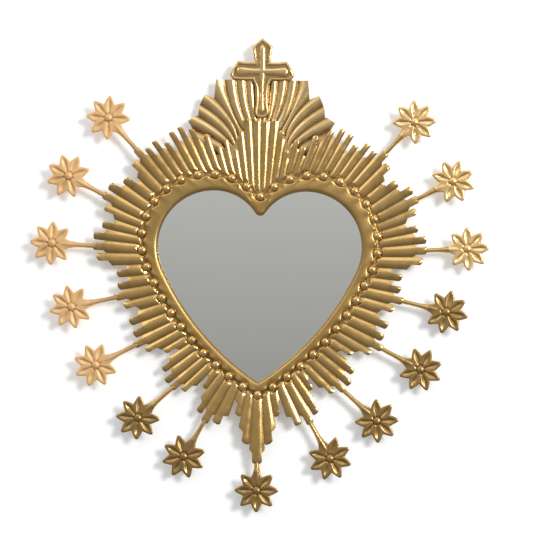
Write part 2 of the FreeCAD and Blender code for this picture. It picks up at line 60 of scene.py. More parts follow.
# Rear frame: a heart-shaped ring of raw fibreboard, sawn out and left unpainted.
# The sheet metal is nailed to its front, and the hanger and the turn buttons are screwed to its back.
def new_material(name):
    material = bpy.data.materials.new(name)
    material.use_nodes = True
    return material, material.node_tree.nodes, material.node_tree.links


def node(tree_nodes, kind, **settings):
    made = tree_nodes.new(kind)
    for key, value in settings.items():
        if key in made.inputs:
            made.inputs[key].default_value = value
        else:
            setattr(made, key, value)
    return made


def colour_ramp(tree, dark, light, start=0.0, end=1.0):
    # A blend from a dark to a light colour between two values.
    ramp = node(tree, "ShaderNodeValToRGB")
    low, high = ramp.color_ramp.elements
    low.position = start
    low.color = (*dark, 1.0)
    high.position = end
    high.color = (*light, 1.0)
    return ramp


def dress(name, material):
    slots = nodes[name].data.materials
    slots.clear()
    slots.append(material)


def board_finish(name, light, dark, fibre, turn):
    # Pressed fibre: short streaks along one way, with dark flecks.
    material, tree, links = new_material(name)
    shader = tree["Principled BSDF"]
    place = node(tree, "ShaderNodeTexCoord")
    stretch = node(tree, "ShaderNodeMapping", Rotation=(0.0, turn, 0.0), Scale=(1.0, 1.0, 3.5))
    streaks = node(tree, "ShaderNodeTexNoise", Scale=fibre, Detail=9.0, Roughness=0.7)
    flecks = node(tree, "ShaderNodeTexNoise", Scale=fibre * 4, Detail=3.0, Roughness=0.6)
    tone = colour_ramp(tree, dark, light, start=0.3, end=0.72)
    both = node(tree, "ShaderNodeMath", operation="ADD")
    half = node(tree, "ShaderNodeMath", operation="MULTIPLY")
    half.inputs[1].default_value = 0.5
    bump = node(tree, "ShaderNodeBump", Strength=0.35, Distance=0.0004)
    links.new(place.outputs["Object"], stretch.inputs["Vector"])
    links.new(stretch.outputs["Vector"], streaks.inputs["Vector"])
    links.new(place.outputs["Object"], flecks.inputs["Vector"])
    links.new(streaks.outputs["Fac"], both.inputs[0])
    links.new(flecks.outputs["Fac"], both.inputs[1])
    links.new(both.outputs["Value"], half.inputs[0])
    links.new(half.outputs["Value"], tone.inputs["Fac"])
    links.new(tone.outputs["Color"], shader.inputs["Base Color"])
    links.new(half.outputs["Value"], bump.inputs["Height"])
    links.new(bump.outputs["Normal"], shader.inputs["Normal"])
    shader.inputs["Roughness"].default_value = 0.85
    return material


raw_board = board_finish("raw_fibreboard", light=(0.42, 0.29, 0.17), dark=(0.24, 0.15, 0.08),
                         fibre=90.0, turn=0.0)
dress("rear_frame", raw_board)

# Back board and the card in front of it: a thin dark hardboard heart that closes the frame, and a
# heart of unbleached card that keeps it off the silvering. Both lie loose in the frame's well.
dark_board = board_finish("dark_hardboard", light=(0.27, 0.16, 0.085), dark=(0.13, 0.07, 0.035),
                          fibre=130.0, turn=0.4)
dress("back_board", dark_board)
kraft = board_finish("kraft_card", light=(0.42, 0.31, 0.19), dark=(0.31, 0.22, 0.13),
                     fibre=300.0, turn=0.2)
dress("backing_card", kraft)


# Mirror glass: silvered float glass cut to a heart, held against the bezel's lip from behind.
# The silvering is a little uneven, and its colour is greyer towards the bottom as a painted reflection
# of the room, lighter above than below.
def mirror_finish():
    material, tree, links = new_material("silvered_glass")
    shader = tree["Principled BSDF"]
    place = node(tree, "ShaderNodeTexCoord")
    split = node(tree, "ShaderNodeSeparateXYZ")
    # The height ramp darkens the colour towards the bottom: a painted reflection.
    height = node(tree, "ShaderNodeMapRange")
    height.inputs["From Min"].default_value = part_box("mirror_glass")[0].z
    height.inputs["From Max"].default_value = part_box("mirror_glass")[1].z
    clouds = node(tree, "ShaderNodeTexNoise", Scale=14.0, Detail=2.0)
    uneven_and_painted_reflection = node(tree, "ShaderNodeMath", operation="MULTIPLY_ADD")
    uneven_and_painted_reflection.inputs[1].default_value = 0.12
    tone = colour_ramp(tree, (0.59, 0.595, 0.57), (0.83, 0.83, 0.805))
    links.new(place.outputs["Object"], split.inputs["Vector"])
    links.new(place.outputs["Object"], clouds.inputs["Vector"])
    links.new(split.outputs["Z"], height.inputs["Value"])
    links.new(clouds.outputs["Fac"], uneven_and_painted_reflection.inputs[0])
    links.new(height.outputs["Result"], uneven_and_painted_reflection.inputs[2])
    links.new(uneven_and_painted_reflection.outputs["Value"], tone.inputs["Fac"])
    links.new(tone.outputs["Color"], shader.inputs["Base Color"])
    shader.inputs["Metallic"].default_value = 1.0
    shader.inputs["Roughness"].default_value = 0.03
    return material


dress("mirror_glass", mirror_finish())

# Sunburst plate: one thin sheet of brass-finished metal, pressed into round flutes that start as
# blunt noses beside the bezel and end in stepped fingers. It is nailed to the frame by the dome tacks.
MM = 0.001
CLOSE = 1e-6
HANG_HEIGHT = 75.0
HEART = dict(lobe_x=54.3, top=97.2, shoulder_r=75.3, lobe_r=77.6, flank_r=297.7, tip=-149.1, tip_r=16.9)
SHEET_FRONT = 9.0
SHEET_T = 1.0
BEAD_LINE = -7.0
TACK_COUNT = 42
TACK_R = 4.7
FLUTE_H = 2.4
FLUTE_SWELL = 0.142
FLUTE_TURNS = (-90, -79, -69, -58, -45, -28, -10, 10, 28, 45, 58, 69, 79, 90)
LAND_START = -9.0
# The noses: the innermost start, the steps by which it moves out, and the room kept round a tack.
NOSE_FIRST = -6.0
NOSE_STEP = 0.25
NOSE_TRIES = 16
NOSE_CLEAR = 0.9
NOSE_RUN = 4.6
NOSE_ROWS = (0.0, 0.08, 0.25, 0.55, 1.0)
RUN_ROWS = (0.35, 0.65, 0.9)
# The ray ends: how far the finger stands out, its share of the flute's width, and how it closes.
RAY_STEP = 9.0
MIDDLE_STEP = 2.5
MIDDLE_FLUTES = 2
RAY_FINGER = 0.6
RAY_SHOULDER = 0.2
RAY_ROUND = 0.3
SHOULDER_SLANT = 2.6
FINGER_SPAN = {
    -1: (0.0, RAY_FINGER),
    0: (RAY_SHOULDER, 1 - RAY_SHOULDER),
    1: (1 - RAY_FINGER, 1.0),
}
FINGER_ROWS = (0.4, 0.75, 0.92, 1.0)
END_LIFT = 0.9
END_RUN = 3.0
# How dark the painted shade is in the valleys, at the cut shoulders and at the tips.
PAINTED_SHADE_POWER = 6
SHOULDER_PAINTED_SHADE = 0.4
TIP_PAINTED_SHADE = 0.5
# Each star down the right side: station and direction of its stem, distance, reach of the flute that
# carries the stem, and reaches of the flutes before it.
STARS = [
    (110.6, 48.6, 89.8, 44, (70, 66, 50, 26, 34, 25, 36, 42, 46, 43, 34, 41, 38)),
    (155.7, 27.8, 85.6, 42, (35, 30, 40)),
    (191.4, 2.5, 88.2, 43, (36, 34, 42)),
    (238.9, -12.8, 85.1, 36, (40, 24, 28)),
    (284.5, -27.5, 90.8, 43, (31, 34, 37)),
    (333.2, -41.1, 90.4, 42, (36, 21, 35, 41)),
    (366.7, -59.4, 89.8, 46, (35, 18, 41)),
]
TAIL_STAR = (93.9, 64, (40, 21, 45))
# Sockets of a Mix node that blends two colours.
MIX_FACTOR, MIX_FIRST, MIX_SECOND, MIX_RESULT = 0, 6, 7, 2


def at(x, z, depth):
    return Vector((x * MM, -depth * MM, (z - HANG_HEIGHT) * MM))


def heart_arcs(heart, offset):
    # The right half from the notch to the tip, as arcs: centre, radius and two angles.
    lobe_x = heart["lobe_x"]
    shoulder_z = heart["top"] - heart["shoulder_r"]
    lobe_z = heart["top"] - heart["lobe_r"]
    tip_z = heart["tip"] + heart["tip_r"]
    notch_z = shoulder_z + math.sqrt(heart["shoulder_r"] ** 2 - lobe_x ** 2)
    to_lobe = heart["flank_r"] - heart["lobe_r"]
    to_tip = heart["flank_r"] - heart["tip_r"]
    gap = math.hypot(lobe_x, lobe_z - tip_z)
    along = (to_tip ** 2 - to_lobe ** 2 + gap ** 2) / (2 * gap)
    across = math.sqrt(to_tip ** 2 - along ** 2)
    ux, uz = lobe_x / gap, (lobe_z - tip_z) / gap
    flank_x = along * ux - across * uz
    flank_z = tip_z + along * uz + across * ux
    start = math.acos(-lobe_x / heart["shoulder_r"])
    bend = math.atan2(lobe_z - flank_z, lobe_x - flank_x)
    end = math.atan2(tip_z - flank_z, -flank_x)
    arcs = [(lobe_x, shoulder_z, heart["shoulder_r"] + offset, start, math.pi / 2)]
    arcs.append((lobe_x, lobe_z, heart["lobe_r"] + offset, math.pi / 2, bend))
    arcs.append((flank_x, flank_z, heart["flank_r"] + offset, bend, end))
    arcs.append((0.0, tip_z, heart["tip_r"] + offset, end, -math.pi / 2))
    if offset < 0:
        arcs.insert(0, (0.0, notch_z, -offset, -math.pi / 2, start - math.pi))
    return arcs


def half_length(heart, offset):
    return sum(radius * abs(last - first) for _, _, radius, first, last in heart_arcs(heart, offset))


def heart_point(heart, offset, station):
    # The point at a distance along the right half, and the direction out of the heart.
    station = min(station, half_length(heart, offset) - CLOSE)
    for cx, cz, radius, first, last in heart_arcs(heart, offset):
        length = radius * abs(last - first)
        if station <= length:
            break
        station -= length
    angle = first + (last - first) * station / length
    outward = angle if last < first else angle + math.pi
    return cx + radius * math.cos(angle), cz + radius * math.sin(angle), outward


def between(one, two, share):
    return tuple(a + (b - a) * share for a, b in zip(one, two))


def flute_lines():
    # Middle lines of the flutes on the right half: station, direction, reach, side of the stem.
    lines = []
    last_station, last_angle = 0.0, 90.0
    bottom = (half_length(HEART, 0.0), -90.0) + TAIL_STAR
    for number, (station, angle, _, stem_reach, reaches) in enumerate(STARS + [bottom]):
        lead = 1.0 if number else 0.5
        for index, reach in enumerate(reaches):
            share = (index + lead) / (len(reaches) + lead)
            spot = last_station + (station - last_station) * share
            turn = last_angle + (angle - last_angle) * share
            lines.append((spot, turn, reach, -1 if share < 0.5 else 1))
        lines.append((station, angle, stem_reach, 0))
        last_station, last_angle = station, angle
    return lines


def valley_point(valley, reach):
    x, z, _ = heart_point(HEART, 0.0, valley[0])
    turn = math.radians(valley[1])
    return x + reach * math.cos(turn), z + reach * math.sin(turn)


def valley_line(valley, mirror):
    # A valley as a function of the reach, on the right side (1) or mirrored to the left (-1).
    def point(reach):
        x, z = valley_point(valley, reach)
        return mirror * x, z
    return point


def extrude_row(bm, row, points):
    # Extrudes a row of joined vertices and sets the new row on the given points.
    edges = [bm.edges.get(pair) for pair in zip(row, row[1:])]
    made = bmesh.ops.extrude_edge_only(bm, edges=edges)["geom"]
    fresh = {item for item in made if isinstance(item, bmesh.types.BMVert)}
    new_row = [next(e.other_vert(v) for e in v.link_edges if e.other_vert(v) in fresh) for v in row]
    for vert, point in zip(new_row, points):
        vert.co = point
    return new_row


def wire(bm, points):
    row = [bm.verts.new(point) for point in points]
    for pair in zip(row, row[1:]):
        bm.edges.new(pair)
    return row


def blank_sheet():
    bm = bmesh.new()
    # Each sheet carries a layer for painted shade.
    bm.verts.layers.float.new("painted_shade_amount")
    return bm


def paint_shade(bm, row, amounts):
    # Marks how much painted shade darkens each vertex of a row, from 0 to 1.
    layer = bm.verts.layers.float["painted_shade_amount"]
    for vert, amount in zip(row, amounts):
        vert[layer] = amount


def piece(name, bm, material, body, slot, *replaced, smooth_angle):
    # Turns a finished bmesh into a piece that rides on a body and stands for CAD nodes.
    bmesh.ops.recalc_face_normals(bm, faces=bm.faces)
    mesh = bpy.data.meshes.new(name)
    bm.to_mesh(mesh)
    bm.free()
    mesh.shade_smooth()
    mesh.set_sharp_from_angle(angle=math.radians(smooth_angle))
    mesh.materials.append(material)
    made = bpy.data.objects.new(name, mesh)
    bpy.context.scene.collection.objects.link(made)
    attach(made, body)
    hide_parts(*replaced)
    return made


def thicken(bm, thickness):
    # Gives a sheet its thickness behind the drawn front.
    bmesh.ops.recalc_face_normals(bm, faces=bm.faces)
    facing = sum(face.normal.y * face.calc_area() for face in bm.faces)
    if facing > 0:
        bmesh.ops.reverse_faces(bm, faces=bm.faces)
    bmesh.ops.solidify(bm, geom=bm.faces[:] + bm.edges[:] + bm.verts[:], thickness=thickness * MM)


def tack_spots():
    # Tacks stand at even steps along the bead line, with one at the notch and one at the tip.
    half = TACK_COUNT // 2
    right = []
    for index in range(half + 1):
        right.append(heart_point(HEART, BEAD_LINE, half_length(HEART, BEAD_LINE) * index / half)[:2])
    return right + [(-x, z) for x, z in right[1:-1]]


def nose_start(left, right, tacks):
    # A flute reaches in between the tacks for as far as its middle clears them.
    for step in range(NOSE_TRIES):
        start = NOSE_FIRST + NOSE_STEP * step
        middle = between(left(start), right(start), 0.5)
        if min(math.dist(middle, tack) for tack in tacks) > TACK_R + NOSE_CLEAR:
            break
    return start


def valley_painted_shade(share):
    # Painted shade darkens the valleys on both sides of a flute.
    return abs(2 * share - 1) ** PAINTED_SHADE_POWER


def flute(bm, left, right, reach, side, start, step):
    # One flute between two valleys, given as functions of the reach.
    low = reach - step
    first, last = FINGER_SPAN[side]
    shares = {round((1 + math.sin(math.radians(turn))) / 2, 4) for turn in FLUTE_TURNS}
    shares = sorted(shares | {first, last})
    slant = SHOULDER_SLANT * step / RAY_STEP
    width = math.dist(left(low), right(low))
    bulge = RAY_ROUND * (last - first) * width

    def spot(share, length, to_end):
        across = 2 * share - 1
        nose = max(0.0, min(1.0, 1 - (length - start) / NOSE_RUN))
        swell = min(FLUTE_H, FLUTE_SWELL * math.dist(left(length), right(length)))
        height = swell * (1 - across ** 2) * math.sqrt(1 - nose ** 2)
        height *= math.sqrt(min(1.0, (to_end + END_LIFT) / END_RUN))
        x, z = between(left(length), right(length), share)
        return at(x, z, SHEET_FRONT + height)

    def overrun(share):
        # The finger's end is rounded across its width.
        place = (2 * share - first - last) / (last - first)
        return bulge * math.sqrt(max(0.0, 1 - abs(place) ** 3))

    def shoulder(share, finger, edge):
        # The shoulder beside the finger is cut back on a slant with a soft bend at both ends.
        part = (share - finger) / (edge - finger)
        return low - slant * part * part * (3 - 2 * part)

    full = start + NOSE_RUN
    lengths = [LAND_START] + [start + NOSE_RUN * part for part in NOSE_ROWS]
    lengths += [full + (low - slant - full) * part for part in RUN_ROWS]
    row = wire(bm, [spot(share, lengths[0], RAY_STEP) for share in shares])
    # The land under the bezel is fully darkened as painted shade.
    paint_shade(bm, row, [1.0] * len(shares))
    for length in lengths[1:]:
        free = [RAY_STEP if first <= share <= last else low - length for share in shares]
        row = extrude_row(bm, row, [spot(s, length, f) for s, f in zip(shares, free)])
        paint_shade(bm, row, [valley_painted_shade(share) for share in shares])
    ends = []
    for share in shares:
        if first <= share <= last:
            ends.append(spot(share, low, RAY_STEP))
        elif share < first:
            ends.append(spot(share, shoulder(share, first, 0.0), 0.0))
        else:
            ends.append(spot(share, shoulder(share, last, 1.0), 0.0))
    row = extrude_row(bm, row, ends)
    # The cut shoulders get painted shade.
    paint_shade(bm, row, [max(valley_painted_shade(share), SHOULDER_PAINTED_SHADE) for share in shares])
    finger = [(vert, share) for vert, share in zip(row, shares) if first <= share <= last]
    row = [vert for vert, _ in finger]
    for part in FINGER_ROWS:
        points = []
        for _, share in finger:
            end = reach + overrun(share)
            length = low + (end - low) * part
            points.append(spot(share, length, end - length))
        row = extrude_row(bm, row, points)
        # Painted shade darkens the finger towards its tip.
        tip = TIP_PAINTED_SHADE * part ** PAINTED_SHADE_POWER
        paint_shade(bm, row, [max(valley_painted_shade(share), tip) for _, share in finger])


def brass_finish(name, light, deep, rough, dents, dent_depth):
    # Lacquered brass: cloudy tone, darker where painted shade is marked on the vertices, and soft dents
    # from hand work.
    material, tree, links = new_material(name)
    shader = tree["Principled BSDF"]
    place = node(tree, "ShaderNodeTexCoord")
    clouds = node(tree, "ShaderNodeTexNoise", Scale=38.0, Detail=6.0, Roughness=0.62)
    scuffs = node(tree, "ShaderNodeTexNoise", Scale=dents, Detail=3.0, Roughness=0.5)
    tone = colour_ramp(tree, deep, light, start=0.3, end=0.62)
    # The marked amount multiplies painted shade into the colour.
    shade_amount = node(tree, "ShaderNodeAttribute", attribute_name="painted_shade_amount")
    shade_darkened = node(tree, "ShaderNodeMix", data_type="RGBA", blend_type="MULTIPLY")
    shade_darkened.inputs[MIX_SECOND].default_value = (0.66, 0.63, 0.62, 1.0)
    dull = node(tree, "ShaderNodeMapRange")
    dull.inputs["From Min"].default_value = 0.3
    dull.inputs["From Max"].default_value = 0.7
    dull.inputs["To Min"].default_value = rough - 0.06
    dull.inputs["To Max"].default_value = rough + 0.08
    bump = node(tree, "ShaderNodeBump", Strength=dent_depth, Distance=0.0006)
    links.new(place.outputs["Object"], clouds.inputs["Vector"])
    links.new(place.outputs["Object"], scuffs.inputs["Vector"])
    links.new(clouds.outputs["Fac"], tone.inputs["Fac"])
    links.new(shade_amount.outputs["Fac"], shade_darkened.inputs[MIX_FACTOR])
    links.new(tone.outputs["Color"], shade_darkened.inputs[MIX_FIRST])
    links.new(shade_darkened.outputs[MIX_RESULT], shader.inputs["Base Color"])
    links.new(scuffs.outputs["Fac"], dull.inputs["Value"])
    links.new(dull.outputs["Result"], shader.inputs["Roughness"])
    links.new(scuffs.outputs["Fac"], bump.inputs["Height"])
    links.new(bump.outputs["Normal"], shader.inputs["Normal"])
    shader.inputs["Metallic"].default_value = 1.0
    return material


sheet_brass = brass_finish("rubbed_sheet_brass", light=(0.6, 0.39, 0.15), deep=(0.51, 0.323, 0.115),
                           rough=0.21, dents=120.0, dent_depth=0.04)
lines = flute_lines()
valleys = [(0.0, 90.0)] + [between(a[:2], b[:2], 0.5) for a, b in zip(lines, lines[1:])]
tacks = tack_spots()
bm = blank_sheet()
for index, (_, _, reach, side) in enumerate(lines[:-1]):
    step = MIDDLE_STEP if index < MIDDLE_FLUTES else RAY_STEP
    for mirror in (1, -1):
        left, right = valley_line(valleys[index], mirror), valley_line(valleys[index + 1], mirror)
        flute(bm, left, right, reach, side, nose_start(left, right, tacks), step)
left, right = valley_line(valleys[-1], -1), valley_line(valleys[-1], 1)
flute(bm, left, right, lines[-1][2], 0, nose_start(left, right, tacks), RAY_STEP)
thicken(bm, SHEET_T)
piece("sunburst", bm, sheet_brass, "root", "brass_sheet", "sunburst_plate", smooth_angle=50)

# Heart bezel: a smooth pressed brass band round the glass. Its outer flange carries the tacks, its
# edge is scalloped up between them, and its inner edge is rolled down on to the glass.
LIP_LINE = -6.0
OPENING = dict(lobe_x=48.5, top=78.8, shoulder_r=58.1, lobe_r=65.1, flank_r=288.4, tip=-135.0, tip_r=7.0)
STEPS_PER_TACK = 10
# Corners of the band's section on the tack side: offset from the heart line, depth, scallop, and how
# far the metal puckers up between the tacks.
FLANGE_SECTION = [
    (-5.2, 9.0, -2.2, 0.0),
    (-5.2, 9.8, -2.2, 0.0),
    (-5.4, 10.0, -2.2, 0.0),
    (-9.6, 10.0, 1.4, 0.0),
    (-10.0, 10.2, 1.5, 0.7),
    (-10.7, 10.7, 1.4, 1.1),
    (-11.6, 11.0, 1.1, 0.9),
    (-13.2, 11.3, 0.6, 0.2),
]
# Corners on the glass side: offset from the opening line, depth.
LIP_SECTION = [
    (-0.4, 11.4), (-2.4, 11.3), (-3.8, 10.9), (-4.8, 10.2), (-5.5, 9.2), (-6.0, 8.1),
    (-5.0, 8.1), (-3.9, 9.6), (-1.4, 10.3),
]
# How dark the painted shade is at the corners, counted from the outer edge: the low flange between the
# tacks. The others are unshaded.
CORNER_PAINTED_SHADE = {0: 1.0, 1: 1.0, 2: 1.0, 3: 1.0, 4: 0.6}


def heart_loop(heart, line, offset, depth, scallop=0.0, pucker=0.0):
    # A closed row of points: the tack at the notch first, then clockwise.
    steps = TACK_COUNT * STEPS_PER_TACK // 2
    right = []
    for index in range(steps + 1):
        x, z, outward = heart_point(heart, line, half_length(heart, line) * index / steps)
        wave = -math.cos(2 * math.pi * index / STEPS_PER_TACK)
        push = offset + scallop * wave - line
        rise = depth + pucker * max(0.0, wave) ** 2
        right.append((x + push * math.cos(outward), z + push * math.sin(outward), rise))
    return [at(*spot) for spot in right] + [at(-x, z, rise) for x, z, rise in reversed(right[1:-1])]


def ring(bm, points):
    # A closed row of joined vertices.
    row = wire(bm, points)
    bm.edges.new((row[-1], row[0]))
    return row


def extrude_ring(bm, row, points):
    return extrude_row(bm, row + row[:1], points + points[:1])[:-1]


loops = [heart_loop(HEART, BEAD_LINE, *corner) for corner in FLANGE_SECTION]
loops += [heart_loop(OPENING, LIP_LINE, *corner) for corner in LIP_SECTION]
bm = blank_sheet()
for number, points in enumerate(loops):
    row = extrude_ring(bm, row, points) if number else ring(bm, points)
    # The flange rings are darkened as painted shade.
    paint_shade(bm, row, [CORNER_PAINTED_SHADE.get(number, 0.0)] * len(row))
bmesh.ops.bridge_loops(bm, edges=[e for e in bm.edges if e.is_boundary])
band_brass = brass_finish("satin_band_brass", light=(0.51, 0.33, 0.12), deep=(0.435, 0.273, 0.092),
                          rough=0.33, dents=60.0, dent_depth=0.02)
piece("bezel", bm, band_brass, "root", "brass_band", "heart_bezel", smooth_angle=60)

# Dome tacks: polished brass nails with round heads, hammered through the bezel and the sheet.
# Each head is a low dome with a thin rim that sits flat on the flange.
TACK_H = 3.8
FLANGE_FRONT = 10.0
RIM_H = 0.7
EQUATOR_PLAY = 1e-9
MERGE_DISTANCE = 1e-7
tack_brass = brass_finish("polished_tack_brass", light=(0.72, 0.49, 0.21), deep=(0.58, 0.37, 0.13),
                          rough=0.15, dents=200.0, dent_depth=0.05)
bm = bmesh.new()
for x, z in tacks:
    made = bmesh.ops.create_uvsphere(bm, u_segments=20, v_segments=12, radius=TACK_R * MM)["verts"]
    for vert in made:
        rise = max(0.0, vert.co.z) / (TACK_R * MM)
        vert.co.z = (RIM_H + (TACK_H - RIM_H) * rise) * MM if vert.co.z > -EQUATOR_PLAY else 0.0
    turn = Matrix.Translation(at(x, z, FLANGE_FRONT)) @ Matrix.Rotation(math.pi / 2, 4, "X")
    bmesh.ops.transform(bm, matrix=turn, verts=made)
bmesh.ops.remove_doubles(bm, verts=bm.verts, dist=MERGE_DISTANCE)
piece("tack_heads", bm, tack_brass, "root", "brass_tack", "dome_tacks", smooth_angle=50)

# Star finials: eight dished petals pressed from warm gold sheet with a round boss in the middle, and a
# half-round stem that is soldered under the end of its flute.
PETALS = 8
STAR_R = 23.0
STAR_NOTCH_R = 15.2
TIP_HALF = 1.6
TIP_INSET = 0.6
TIP_ROUND = 0.55
PETAL_BULGE = 0.2
# The petals' front, with places given as shares of the way from the middle to the edge: the lens-shaped
# hollow, the ring round the boss and the rolled edge.
PETAL_TOP = 3.4
PETAL_FALL = 0.4
PETAL_HOLLOW = 1.6
LENS_START = 0.18
LENS_RUN = 0.68
LENS_HALF = 0.58
MOAT_DEPTH = 0.8
MOAT_AT = 0.22
MOAT_HALF = 0.06
# Painted shade in the ring round the boss.
MOAT_PAINTED_SHADE = 0.9
ROLL_DEPTH = 0.6
ROLL_START = 0.92
ROLL_RUN = 0.08
PETAL_ROWS = (0.14, 0.18, MOAT_AT, 0.26, 0.34, 0.44, 0.56, 0.68, 0.8, 0.9, 0.96, 1.0)
SPOKE_SHARES = [0.0, 0.07, 0.15, 0.27, 0.42, 0.58, 0.74, 0.88, 1.0]
BOSS_R = 4.5
BOSS_H = 2.4
BOSS_SEAT = 3.3
# The stem: it flares under the star, runs level to its flute and dips under it.
STEM_W = 4.8
STEM_H = 3.2
STEM_SUNK_H = 1.1
STEM_BACK = 8.0
STEM_ROOT_GAP = 9.0
STEM_FLARE = 19.0
STEM_FADE = 26.0
# How far painted shade darkens the satin stars' pale stems towards the flutes.
STEM_PAINTED_FADE = 0.95
STEM_NECK = 29.0
FLARE_SECTIONS = [
    (9.0, 9.6, 3.2), (12.0, 9.4, 3.5), (16.0, 8.8, 3.7), (20.0, 7.4, 3.7), (24.0, 6.0, 3.5),
    (STEM_NECK, 5.1, STEM_H),
]
LEVEL_ROWS = (0.3, 0.65, 0.95)
DIP_RUN = 2.0
DIP_H = 2.7
SUNK_RUN = 8.0
FLUTE_RUN = 85.0
STAR_COUNT = 15
# Stars whose colour is painted light: the bright ones at the upper right and the pale satin ones on the
# left. The rest are painted shade.
PAINTED_LIT_STARS = (1, 2, 3)
SATIN_PAINTED_LIT_STARS = (11, 12, 13, 14, 15)


def petal_reach(share):
    # The star's edge at a share of the way from a petal's middle line to the notch.
    angle = share * math.pi / PETALS
    tip_x, tip_z = STAR_R - TIP_INSET, TIP_HALF
    notch_x = STAR_NOTCH_R * math.cos(math.pi / PETALS)
    notch_z = STAR_NOTCH_R * math.sin(math.pi / PETALS)
    run_x, run_z = notch_x - tip_x, notch_z - tip_z
    if angle <= math.atan2(tip_z, tip_x):
        return STAR_R - TIP_ROUND * (angle / math.atan2(tip_z, tip_x)) ** 2
    reach = (tip_x * run_z - tip_z * run_x) / (math.cos(angle) * run_z - math.sin(angle) * run_x)
    along = (tip_x - reach * math.cos(angle)) / (tip_x - notch_x)
    return reach + PETAL_BULGE * math.sin(math.pi * along)


def petal_front(share, out, hollow):
    # Depth of the dished front, from the boss at 0 to the edge at 1.
    lens = math.sin(math.pi * min(1.0, max(0.0, (out - LENS_START) / LENS_RUN)))
    dish = hollow * lens * max(0.0, 1 - share / LENS_HALF)
    moat = MOAT_DEPTH * max(0.0, 1 - abs(out - MOAT_AT) / MOAT_HALF)
    rolled = ROLL_DEPTH * max(0.0, (out - ROLL_START) / ROLL_RUN) ** 2
    return PETAL_TOP - PETAL_FALL * out - dish - moat - rolled


def star_petals(bm):
    # The petals in rings from the boss outwards, and the boss. The petal over the stem has no hollow.
    spokes = []
    for petal in range(PETALS):
        hollow = 0.0 if petal == PETALS // 2 else PETAL_HOLLOW
        for share in [-s for s in reversed(SPOKE_SHARES[1:])] + SPOKE_SHARES[:-1]:
            spokes.append((abs(share), (petal + share / 2) * 2 * math.pi / PETALS, hollow))
    for number, out in enumerate(PETAL_ROWS):
        points = []
        for share, turn, hollow in spokes:
            radius = petal_reach(share) * out
            front = petal_front(share, out, hollow)
            points.append(Vector((radius * math.cos(turn), -front, radius * math.sin(turn))) * MM)
        row = extrude_ring(bm, row, points) if number else ring(bm, points)
        # The ring round the boss gets painted shade.
        paint_shade(bm, row, [MOAT_PAINTED_SHADE if out == MOAT_AT else 0.0] * len(row))
    thicken(bm, SHEET_T)
    dome = bmesh.ops.create_uvsphere(bm, u_segments=16, v_segments=12, radius=1.0)["verts"]
    flatten = Matrix.Diagonal((BOSS_R * MM, BOSS_H * MM, BOSS_R * MM, 1.0))
    bmesh.ops.transform(bm, matrix=Matrix.Translation((0, -BOSS_SEAT * MM, 0)) @ flatten, verts=dome)


def star_stem(bm, stem_length, free, painted_fade):
    # The half-round stem in sections, each with a distance, a width and a height.
    level = [(STEM_NECK + (free - STEM_NECK) * part, STEM_W, STEM_H) for part in LEVEL_ROWS]
    dip = [(free + DIP_RUN, STEM_W, DIP_H), (free + SUNK_RUN, STEM_W, STEM_SUNK_H)]
    stem = FLARE_SECTIONS + level + dip + [(stem_length, STEM_W, STEM_SUNK_H)]
    for number, (distance, width, height) in enumerate(stem):
        arc = []
        for turn in range(0, 181, 18):
            side = math.cos(math.radians(turn)) * width / 2
            rise = math.sin(math.radians(turn)) * height
            arc.append(Vector((-distance, -rise, side)) * MM)
        row = extrude_ring(bm, row, arc) if number else ring(bm, arc)
        # Painted shade grows along the stem from the flare towards the flute.
        faded = min(1.0, max(0.0, (distance - STEM_FLARE) / STEM_FADE))
        paint_shade(bm, row, [painted_fade * faded] * len(row))
        if number == 0:
            root = row
    bm.faces.new(root)
    bm.faces.new(row)


# One star brass in three copies: the pale satin stars on the left and the bright ones at the upper right
# are lighter as painted light, and the brown ones below are darker as painted shade.
satin_painted_lit_star = brass_finish("satin_painted_lit_star_brass", light=(0.84, 0.568, 0.294), deep=(0.75, 0.492, 0.236),
                          rough=0.6, dents=150.0, dent_depth=0.08)
painted_lit_star = brass_finish("painted_lit_star_brass", light=(0.92, 0.625, 0.295), deep=(0.8, 0.525, 0.225),
                           rough=0.28, dents=150.0, dent_depth=0.08)
painted_shaded_star = brass_finish("painted_shaded_star_brass", light=(0.41, 0.26, 0.1), deep=(0.32, 0.2, 0.073),
                          rough=0.3, dents=150.0, dent_depth=0.08)
stem_brass = brass_finish("rubbed_stem_brass", light=(0.62, 0.405, 0.155), deep=(0.5, 0.315, 0.11),
                          rough=0.26, dents=150.0, dent_depth=0.07)


def star_finial(number, x, z, angle, stem_length, free):
    # The satin stars' stems fade darker towards the flutes, where their painted light gives way to
    # painted shade, and the others are bright stem brass from the flare on.
    satin = number in SATIN_PAINTED_LIT_STARS
    bm = blank_sheet()
    star_petals(bm)
    star_stem(bm, stem_length, free, STEM_PAINTED_FADE if satin else 0.0)
    for face in bm.faces:
        beyond = min(-vert.co.x for vert in face.verts) > STEM_FLARE * MM
        face.material_index = 1 if beyond and not satin else 0
    turn = Matrix.Translation(at(x, z, STEM_BACK)) @ Matrix.Rotation(-math.radians(angle), 4, "Y")
    bmesh.ops.transform(bm, matrix=turn, verts=bm.verts)
    finish = satin_painted_lit_star if satin else painted_lit_star if number in PAINTED_LIT_STARS else painted_shaded_star
    made = piece("finial_%02d" % number, bm, finish, "root", "brass_star", "star_%02d" % number,
                 smooth_angle=48)
    if not satin:
        made.data.materials.append(stem_brass)


def flute_middle(index, reach):
    return between(valley_point(valleys[index], reach), valley_point(valleys[index + 1], reach), 0.5)


